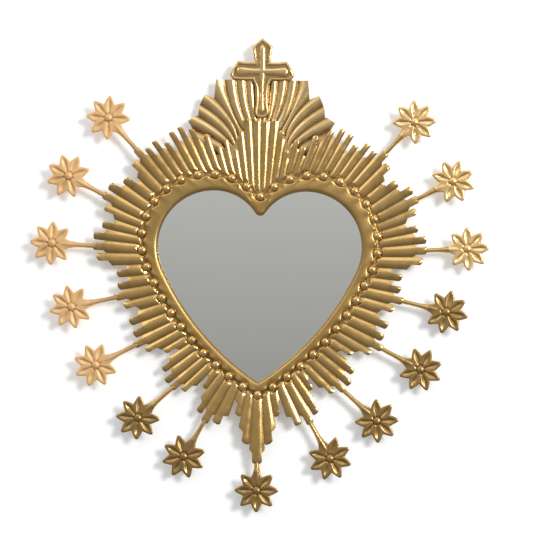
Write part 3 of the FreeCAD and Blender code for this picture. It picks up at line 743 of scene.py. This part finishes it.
seats = [index for index, line in enumerate(lines[:-1]) if line[3] == 0]
for number, (index, (_, _, distance, stem_reach, _)) in enumerate(zip(seats, STARS), 1):
    near, far = flute_middle(index, 0.0), flute_middle(index, FLUTE_RUN)
    turn = math.atan2(far[1] - near[1], far[0] - near[0])
    x, z = near[0] + distance * math.cos(turn), near[1] + distance * math.sin(turn)
    length, free = distance - STEM_ROOT_GAP, distance - stem_reach
    star_finial(number, x, z, math.degrees(turn), length, free)
    star_finial(STAR_COUNT + 1 - number, -x, z, 180 - math.degrees(turn), length, free)
distance, stem_reach, _ = TAIL_STAR
length, free = distance - STEM_ROOT_GAP, distance - stem_reach
star_finial(len(STARS) + 1, 0.0, HEART["tip"] - distance, -90.0, length, free)

# Crest: a second pressed sheet of flames, soldered behind the sunburst's upper flutes. The middle
# flames stand upright under a flat top, and the outer ones bend outwards to blunt tips.
FLAMES = [
    ((0.0, 136.0), (0.0, 160.0), (0.0, 196.0)),
    ((2.0, 136.0), (8.0, 157.0), (8.0, 196.0)),
    ((4.0, 135.5), (16.5, 157.0), (17.0, 196.0)),
    ((8.0, 135.0), (26.0, 157.0), (27.5, 196.0)),
    ((16.0, 131.0), (36.5, 157.0), (38.5, 196.0)),
    ((24.5, 131.0), (30.0, 157.0), (66.0, 182.0)),
    ((27.0, 124.0), (34.0, 149.0), (76.0, 169.0)),
    ((30.0, 120.0), (42.0, 139.0), (84.0, 160.0)),
    ((33.0, 117.0), (48.0, 131.0), (90.0, 143.0)),
    ((37.0, 107.5), (56.0, 113.0), (92.0, 122.0)),
]
CREST_TAIL = (37.0, 106.0)
FLAME_RIDGE = 7.95
FLAME_H = 4.2
FLAME_SWELL = 0.22
FLAME_ROWS = 24
FLAME_TURNS = range(-90, 91, 18)
# Painted shade in the valleys between flames, and over all of the lowest flame.
FLAME_PAINTED_SHADE_POWER = 8
LOWEST_FLAME_PAINTED_SHADE = 0.9
FLAT_TOP = ((-48.5, 190.0), (48.5, 190.0))
# The cuts that end each flame, from the middle outwards, each keeping what lies on its right.
FLAME_CUTS = [
    [FLAT_TOP],
    [FLAT_TOP],
    [FLAT_TOP],
    [FLAT_TOP],
    [FLAT_TOP, ((48.5, 190.0), (50.4, 170.0))],
    [((50.4, 170.0), (60.5, 174.2)), ((60.5, 174.2), (65.6, 163.0))],
    [((64.4, 166.0), (66.4, 159.0)), ((66.4, 159.0), (66.8, 152.8))],
    [((66.8, 152.8), (77.5, 145.6)), ((77.5, 145.6), (73.0, 138.0))],
    [((73.0, 138.0), (67.0, 125.0)), ((67.0, 125.0), (56.0, 114.0)), ((56.0, 114.0), CREST_TAIL)],
]


def join(bm, part):
    # Moves a finished bmesh into a group.
    kept = bpy.data.meshes.new("kept")
    part.to_mesh(kept)
    part.free()
    bm.from_mesh(kept)
    bpy.data.meshes.remove(kept)


def whole(bm):
    return bm.verts[:] + bm.edges[:] + bm.faces[:]


def curve_point(curve, share):
    root, bend, tip = curve
    return between(between(root, bend, share), between(bend, tip, share), share)


crest_brass = brass_finish("crest_sheet_brass", light=(0.69, 0.49, 0.235), deep=(0.585, 0.4, 0.173),
                           rough=0.25, dents=120.0, dent_depth=0.05)
bm = blank_sheet()
for one, two, cuts in zip(FLAMES, FLAMES[1:], FLAME_CUTS):
    flame = blank_sheet()
    # The lowest flame is darkened all over as painted shade, and each flame's valleys too.
    shade = LOWEST_FLAME_PAINTED_SHADE if two is FLAMES[-1] else 0.0
    for step in range(FLAME_ROWS + 1):
        near, far = curve_point(one, step / FLAME_ROWS), curve_point(two, step / FLAME_ROWS)
        swell = min(FLAME_H, FLAME_SWELL * math.dist(near, far))
        points, flame_shade = [], []
        for turn in FLAME_TURNS:
            across = math.sin(math.radians(turn))
            x, z = between(near, far, (1 + across) / 2)
            points.append(at(x, z, FLAME_RIDGE - swell * across ** 2))
            flame_shade.append(max(shade, abs(across) ** FLAME_PAINTED_SHADE_POWER))
        row = extrude_row(flame, row, points) if step else wire(flame, points)
        paint_shade(flame, row, flame_shade)
    for (x0, z0), (x1, z1) in cuts:
        bmesh.ops.bisect_plane(flame, geom=whole(flame), plane_co=at(x0, z0, 0.0),
                               plane_no=Vector((z0 - z1, 0.0, x1 - x0)), clear_outer=True)
    thicken(flame, SHEET_T)
    join(bm, flame)
tail = blank_sheet()
row = wire(tail, [at(*valley[0], FLAME_RIDGE) for valley in FLAMES])
widths = [CREST_TAIL[0] * index / (len(FLAMES) - 1) for index in range(len(FLAMES))]
extrude_row(tail, row, [at(width, CREST_TAIL[1], FLAME_RIDGE) for width in widths])
thicken(tail, SHEET_T)
join(bm, tail)
bmesh.ops.mirror(bm, geom=whole(bm), axis="X", merge_dist=-1.0)
piece("crest", bm, crest_brass, "root", "brass_sheet", "crest_plate", smooth_angle=50)

# Cross: pressed from the same sheet, with a rolled rim, a sunk field and a raised inner cross with
# bulbed ends. It is soldered on the front of the flames.
CROSS_EDGE = [
    (0.0, 234.4), (5.6, 229.6), (11.0, 225.0), (9.6, 217.0), (8.8, 208.6), (17.0, 208.6),
    (26.0, 209.8), (30.6, 202.4), (34.3, 195.0), (30.4, 189.7), (20.0, 189.2), (10.2, 189.5),
    (7.0, 183.0), (6.3, 175.0), (6.4, 165.0), (7.9, 157.0), (7.0, 152.6), (4.2, 150.0),
    (0.0, 149.3),
]
CROSS_BACK = 8.0
CROSS_T = 2.0
# The rolled rim in steps inwards, each with a width and a rise.
CROSS_RIM = ((0.3, 0.8), (0.5, 0.6), (0.7, 0.3), (0.8, 0.0), (0.7, -0.5), (0.5, -1.2))
# Painted shade in the sunk field inside the rim.
FIELD_PAINTED_SHADE = 0.8
RIDGE_SINK = 0.05
UPRIGHT_ENDS = ((0.0, 154.2), (0.0, 227.6))
ARM_ENDS = ((-28.0, 198.6), (28.0, 198.6))
# The inner cross: share of the length, width and height.
UPRIGHT = [
    (0.0, 0.6, 0.3), (0.01, 3.2, 1.0), (0.03, 5.2, 1.5), (0.06, 6.2, 1.8), (0.1, 5.6, 1.8),
    (0.2, 4.2, 1.8), (0.4, 4.2, 1.8), (0.55, 6.4, 1.8), (0.62, 7.6, 1.8), (0.7, 6.4, 1.8),
    (0.85, 6.2, 1.8), (0.93, 6.8, 1.8), (0.97, 5.6, 1.5), (0.99, 3.2, 1.0), (1.0, 0.6, 0.3),
]
ARMS = [
    (0.0, 0.6, 0.3), (0.012, 5.4, 1.0), (0.035, 9.4, 1.5), (0.07, 10.8, 1.8), (0.14, 10.0, 1.8),
    (0.3, 7.8, 1.8), (0.5, 7.6, 1.8), (0.7, 7.8, 1.8), (0.86, 10.0, 1.8), (0.93, 10.8, 1.8),
    (0.965, 9.4, 1.5), (0.988, 5.4, 1.0), (1.0, 0.6, 0.3),
]


def inset_steps(bm, face, steps):
    for thickness, depth in steps:
        bmesh.ops.inset_region(bm, faces=[face], thickness=thickness * MM, depth=depth * MM,
                               use_even_offset=True)


def ridge_bar(bm, start, end, sections):
    # A half-round bar along a line, with a width and a height at each share of its length.
    run = (end[0] - start[0], end[1] - start[1])
    length = math.hypot(*run)
    side = (run[1] / length, -run[0] / length)
    for number, (share, width, height) in enumerate(sections):
        x, z = between(start, end, share)
        points = []
        for turn in range(0, 181, 15):
            across = math.cos(math.radians(turn)) * width / 2
            rise = math.sin(math.radians(turn)) * height
            depth = CROSS_BACK + CROSS_T - RIDGE_SINK + rise
            points.append(at(x + side[0] * across, z + side[1] * across, depth))
        row = extrude_row(bm, row, points) if number else wire(bm, points)


bm = blank_sheet()
loop = CROSS_EDGE + [(-x, z) for x, z in reversed(CROSS_EDGE[1:-1])]
field = bm.faces.new([bm.verts.new(at(x, z, CROSS_BACK)) for x, z in loop])
bm.normal_update()
if field.normal.y > 0:
    bmesh.ops.reverse_faces(bm, faces=[field])
lifted = bmesh.ops.extrude_face_region(bm, geom=[field])["geom"]
field = next(item for item in lifted if isinstance(item, bmesh.types.BMFace))
bmesh.ops.translate(bm, vec=(0.0, -CROSS_T * MM, 0.0), verts=field.verts)
inset_steps(bm, field, CROSS_RIM)
# The sunk field gets painted shade.
paint_shade(bm, field.verts, [FIELD_PAINTED_SHADE] * len(field.verts))
ridge_bar(bm, *UPRIGHT_ENDS, UPRIGHT)
ridge_bar(bm, *ARM_ENDS, ARMS)
piece("cross", bm, crest_brass, "root", "brass_sheet", "crest_cross", smooth_angle=45)


# Hanger plate, turn buttons and screws: stamped zinc-plated steel on the back of the frame. The
# buttons swivel on their screws to hold the back board, and the plate takes the wall screw.
def zinc_finish():
    material, tree, links = new_material("zinc_plate")
    shader = tree["Principled BSDF"]
    place = node(tree, "ShaderNodeTexCoord")
    spangle = node(tree, "ShaderNodeTexVoronoi", Scale=260.0)
    haze = node(tree, "ShaderNodeTexNoise", Scale=120.0, Detail=5.0)
    tone = colour_ramp(tree, (0.46, 0.47, 0.48), (0.70, 0.70, 0.68))
    dull = node(tree, "ShaderNodeMapRange")
    dull.inputs["To Min"].default_value = 0.28
    dull.inputs["To Max"].default_value = 0.48
    links.new(place.outputs["Object"], spangle.inputs["Vector"])
    links.new(place.outputs["Object"], haze.inputs["Vector"])
    links.new(spangle.outputs["Color"], tone.inputs["Fac"])
    links.new(tone.outputs["Color"], shader.inputs["Base Color"])
    links.new(haze.outputs["Fac"], dull.inputs["Value"])
    links.new(dull.outputs["Result"], shader.inputs["Roughness"])
    shader.inputs["Metallic"].default_value = 1.0
    return material


zinc = zinc_finish()
dress("hanger_plate", zinc)
HEAD_R = 2.9
HEAD_T = 1.5
HEAD_ROUND = 0.9
SHANK_R = 1.5
SHANK_L = 4.6
SLOT_W = 0.8
SLOT_SINK = 0.7
HANGER_SCREWS = (65.5, 94.5)
# The slots' turn on the first screw of a row, and from each screw to the next.
HANGER_SCREW_TURNS = (0.4, 0.9)
BUTTON_SCREW_TURNS = (0.7, 1.1)
BUTTON_STATIONS = (62.0, 185.0, 322.0)
BUTTON_LINE = -9.2
BUTTON_W = 9.0
BUTTON_RUN = 12.0
BUTTON_T = 1.2
BUTTON_PLAY = 0.1
BUTTON_ROUND = 0.35
BUTTON_POINTS = 40
RIM_PLAY = 0.1
STEEP = 0.5
FACING_OUT = 0.3


def back_turn(x, z, depth, turn):
    # Sets a piece made in its own plane on the back of the frame, turned in that plane.
    spin = Matrix.Rotation(-turn, 4, "Y") @ Matrix.Rotation(-math.pi / 2, 4, "X")
    return Matrix.Translation(at(x, z, depth)) @ spin


def round_bar(bm, radius, far_radius, low, high, segments):
    # A capped bar or cone along Z from one height to another.
    middle = Matrix.Translation((0, 0, (low + high) / 2 * MM))
    bmesh.ops.create_cone(bm, cap_ends=True, segments=segments, radius1=radius * MM,
                          radius2=far_radius * MM, depth=(high - low) * MM, matrix=middle)


def round_rim(bm, height, reach, offset):
    # Rounds the outer edges that lie at one height and further from the middle than the reach.
    def on_rim(vert):
        return abs(vert.co.z - height * MM) < CLOSE and vert.co.xy.length > reach * MM

    rim = []
    for edge in bm.edges:
        walls = [face for face in edge.link_faces if abs(face.normal.z) < STEEP]
        if walls and all(on_rim(vert) for vert in edge.verts):
            rim.append(edge)
    bmesh.ops.bevel(bm, geom=rim, offset=offset * MM, segments=4, profile=0.5, affect="EDGES",
                    material=-1)


def slotted_screw(bm, x, z, seat, shank, turn):
    # A round head with a sunk slot, and a plain shank.
    screw = bmesh.new()
    round_bar(screw, HEAD_R, HEAD_R, 0.0, HEAD_T, segments=28)
    screw.normal_update()
    round_rim(screw, HEAD_T, 0.0, HEAD_ROUND)
    for side in (-1, 1):
        bmesh.ops.bisect_plane(screw, geom=whole(screw), plane_co=(side * SLOT_W / 2 * MM, 0, 0),
                               plane_no=(1, 0, 0))
    screw.normal_update()
    top = [face for face in screw.faces if face.normal.z > FACING_OUT]
    floor = [face for face in top if abs(face.calc_center_median().x) < SLOT_W / 2 * MM]
    sunk = bmesh.ops.extrude_face_region(screw, geom=floor)["geom"]
    bmesh.ops.delete(screw, geom=floor, context="FACES_ONLY")
    low = [item for item in sunk if isinstance(item, bmesh.types.BMVert)]
    bmesh.ops.translate(screw, vec=(0, 0, -SLOT_SINK * MM), verts=low)
    round_bar(screw, SHANK_R, SHANK_R, -shank, 0.0, segments=16)
    bmesh.ops.transform(screw, matrix=back_turn(x, z, seat, turn), verts=screw.verts)
    join(bm, screw)


def button_strip(number, x, z, outward):
    # A round-ended strip with a hole for its screw and its long end over the back board.
    strip = bmesh.new()
    hole, edge = [], []
    for index in range(BUTTON_POINTS):
        angle = 2 * math.pi * index / BUTTON_POINTS
        across, up = math.cos(angle), math.sin(angle)
        hole.append(Vector((across, up, 0.0)) * (SHANK_R + BUTTON_PLAY) * MM)
        far = BUTTON_RUN if across < -CLOSE else 0.0
        edge.append(Vector((across * BUTTON_W / 2 - far, up * BUTTON_W / 2, 0.0)) * MM)
    extrude_ring(strip, ring(strip, hole), edge)
    top = bmesh.ops.extrude_face_region(strip, geom=strip.faces[:])["geom"]
    lifted = [item for item in top if isinstance(item, bmesh.types.BMVert)]
    bmesh.ops.translate(strip, vec=(0, 0, BUTTON_T * MM), verts=lifted)
    bmesh.ops.recalc_face_normals(strip, faces=strip.faces)
    round_rim(strip, BUTTON_T, BUTTON_W / 2 - RIM_PLAY, BUTTON_ROUND)
    bmesh.ops.transform(strip, matrix=back_turn(x, z, -BUTTON_PLAY, outward), verts=strip.verts)
    piece("button_strip_%d" % number, strip, zinc, "turn_button_%d_body" % number,
          "zinc_steel", "turn_button_%d" % number, smooth_angle=40)


spots = [heart_point(HEART, BUTTON_LINE, station) for station in BUTTON_STATIONS]
spots += [(-x, z, math.pi - outward) for x, z, outward in reversed(spots)]
for number, spot in enumerate(spots, 1):
    button_strip(number, *spot)
bm = bmesh.new()
lift = BUTTON_T + 2 * BUTTON_PLAY
first_turn, next_turn = BUTTON_SCREW_TURNS
for number, (x, z, _) in enumerate(spots):
    slotted_screw(bm, x, z, -lift, SHANK_L + lift, first_turn + next_turn * number)
piece("button_screw_heads", bm, zinc, "root", "zinc_steel", "button_screws", smooth_angle=40)
bm = bmesh.new()
first_turn, next_turn = HANGER_SCREW_TURNS
for number, z in enumerate(HANGER_SCREWS):
    slotted_screw(bm, 0.0, z, 0.0, SHANK_L, first_turn + next_turn * number)
piece("hanger_screw_heads", bm, zinc, "root", "zinc_steel", "hanger_screws", smooth_angle=40)


# Wall bumpers: four moulded black rubber pads glued to the back, which keep the mirror off the wall.
# Each is a low cone with a rounded rim and a shallow dimple.
def rubber_finish():
    material, tree, links = new_material("black_bumper_rubber")
    shader = tree["Principled BSDF"]
    place = node(tree, "ShaderNodeTexCoord")
    dust = node(tree, "ShaderNodeTexNoise", Scale=300.0, Detail=6.0)
    tone = colour_ramp(tree, (0.012, 0.012, 0.012), (0.055, 0.053, 0.05))
    bump = node(tree, "ShaderNodeBump", Strength=0.2, Distance=0.0002)
    links.new(place.outputs["Object"], dust.inputs["Vector"])
    links.new(dust.outputs["Fac"], tone.inputs["Fac"])
    links.new(tone.outputs["Color"], shader.inputs["Base Color"])
    links.new(dust.outputs["Fac"], bump.inputs["Height"])
    links.new(bump.outputs["Normal"], shader.inputs["Normal"])
    shader.inputs["Roughness"].default_value = 0.75
    return material


BUMPER_STATIONS = (95.0, 290.0)
BUMPER_LINE = -1.0
BUMPER_R = 6.0
BUMPER_T = 4.0
BUMPER_TAPER = 0.7
BUMPER_ROUND = 0.9
# The dimple in steps inwards, each with a width and a rise.
DIMPLE = ((1.6, 0.0), (0.5, -0.3), (0.6, -0.5))
group = bmesh.new()
for station in BUMPER_STATIONS:
    x, z, _ = heart_point(HEART, BUMPER_LINE, station)
    for side in (1, -1):
        pad = bmesh.new()
        round_bar(pad, BUMPER_R, BUMPER_R - BUMPER_TAPER, 0.0, BUMPER_T, segments=36)
        pad.normal_update()
        round_rim(pad, BUMPER_T, 0.0, BUMPER_ROUND)
        pad.normal_update()
        crown = max(pad.faces, key=lambda face: face.calc_center_median().z)
        inset_steps(pad, crown, DIMPLE)
        bmesh.ops.transform(pad, matrix=back_turn(side * x, z, 0.0, 0.0), verts=pad.verts)
        join(group, pad)
piece("bumper_pads", group, rubber_finish(), "root", "bumper_rubber", "wall_bumpers", smooth_angle=40)

# Wall, lamps and camera: a plain white wall that the bumpers touch, and a camera straight in front that
# leans a little. Window light from the upper right is two lamps, one that lights the wall and one that
# shines on the brass. A skylight and two fills, at the left and behind, soften it.
WALL_SIZE = 6.0
WALL_GAP = 0.0002
wall_mesh = bpy.data.meshes.new("wall")
bm = bmesh.new()
bmesh.ops.create_grid(bm, x_segments=1, y_segments=1, size=WALL_SIZE / 2)
bmesh.ops.rotate(bm, cent=(0, 0, 0), matrix=Matrix.Rotation(math.pi / 2, 3, "X"), verts=bm.verts)
bmesh.ops.translate(bm, vec=(0.0, cad_high.y + WALL_GAP, 0.0), verts=bm.verts)
bm.to_mesh(wall_mesh)
bm.free()
wall = bpy.data.objects.new("wall", wall_mesh)
bpy.context.scene.collection.objects.link(wall)
wall.visible_diffuse = False
wall.visible_shadow = False
paint, tree, links = new_material("white_wall")
tree.remove(tree["Principled BSDF"])
matt = node(tree, "ShaderNodeBsdfDiffuse", Color=(0.86, 0.863, 0.868, 1.0))
glow = node(tree, "ShaderNodeEmission", Color=(0.82, 0.91, 0.98, 1.0), Strength=0.18)
clear = node(tree, "ShaderNodeBsdfTransparent")
front = node(tree, "ShaderNodeAddShader")
faced = node(tree, "ShaderNodeMixShader")
facing = node(tree, "ShaderNodeNewGeometry")
links.new(matt.outputs["BSDF"], front.inputs[0])
links.new(glow.outputs["Emission"], front.inputs[1])
links.new(facing.outputs["Backfacing"], faced.inputs["Fac"])
links.new(front.outputs["Shader"], faced.inputs[1])
links.new(clear.outputs["BSDF"], faced.inputs[2])
links.new(faced.outputs["Shader"], tree["Material Output"].inputs["Surface"])
wall_mesh.materials.append(paint)

# The room is white to the camera and grey to everything else, lighter above than below.
world = bpy.data.worlds.new("studio")
bpy.context.scene.world = world
world.use_nodes = True
sky, links = world.node_tree.nodes, world.node_tree.links
ray = node(sky, "ShaderNodeLightPath")
aim = node(sky, "ShaderNodeTexCoord")
split = node(sky, "ShaderNodeSeparateXYZ")
tone = colour_ramp(sky, (0.285, 0.28, 0.266), (0.8, 0.8, 0.79), start=0.2, end=0.85)
lift = node(sky, "ShaderNodeMath", operation="MULTIPLY_ADD")
lift.inputs[1].default_value = 0.5
lift.inputs[2].default_value = 0.5
pick = node(sky, "ShaderNodeMix", data_type="RGBA")
pick.inputs[MIX_SECOND].default_value = (1.0, 1.0, 1.0, 1.0)
links.new(aim.outputs["Generated"], split.inputs["Vector"])
links.new(split.outputs["Z"], lift.inputs[0])
links.new(lift.outputs["Value"], tone.inputs["Fac"])
links.new(tone.outputs["Color"], pick.inputs[MIX_FIRST])
links.new(ray.outputs["Is Camera Ray"], pick.inputs[MIX_FACTOR])
links.new(pick.outputs[MIX_RESULT], sky["Background"].inputs["Color"])


def soft_lamp(name, spot, target, size, power):
    lamp = bpy.data.lights.new(name, "AREA")
    lamp.size = size
    lamp.energy = power
    holder = bpy.data.objects.new(name, lamp)
    bpy.context.scene.collection.objects.link(holder)
    holder.location = spot
    holder.rotation_euler = (Vector(target) - Vector(spot)).to_track_quat("-Z", "Y").to_euler()
    return holder


MIDDLE = (0.0, -0.009, -0.085)
soft_lamp("window_on_wall", (2.37, -3.2, 1.26), MIDDLE, size=1.1, power=118.0).visible_glossy = False
soft_lamp("window_on_brass", (2.37, -3.2, 0.6), MIDDLE, size=0.9, power=70.0).visible_diffuse = False
soft_lamp("skylight", (0.3, -1.3, 1.25), MIDDLE, size=1.0, power=3.1)
soft_lamp("fill_left", (-0.9, -1.25, 0.9), MIDDLE, size=0.7, power=2.6)
soft_lamp("fill_behind", (-0.8, 1.4, 0.6), MIDDLE, size=1.0, power=14.0)

PIXEL_MM = 1.055
IMAGE_TALL = 538
SENSOR = 36.0
CAMERA_AWAY = 3.0
CAMERA_X = 0.0074
CAMERA_Z = -0.08439
LEAN = math.radians(0.8)
camera = bpy.data.cameras.new("camera")
camera.sensor_width = SENSOR
camera.lens = SENSOR * CAMERA_AWAY / (IMAGE_TALL * PIXEL_MM * MM)
camera.clip_end = 50.0
eye = bpy.data.objects.new("camera", camera)
bpy.context.scene.collection.objects.link(eye)
eye.location = (CAMERA_X, -SHEET_FRONT * MM - CAMERA_AWAY, CAMERA_Z)
eye.rotation_euler = (math.pi / 2, -LEAN, 0.0)
bpy.context.scene.camera = eye
bpy.context.scene.view_settings.view_transform = "Standard"
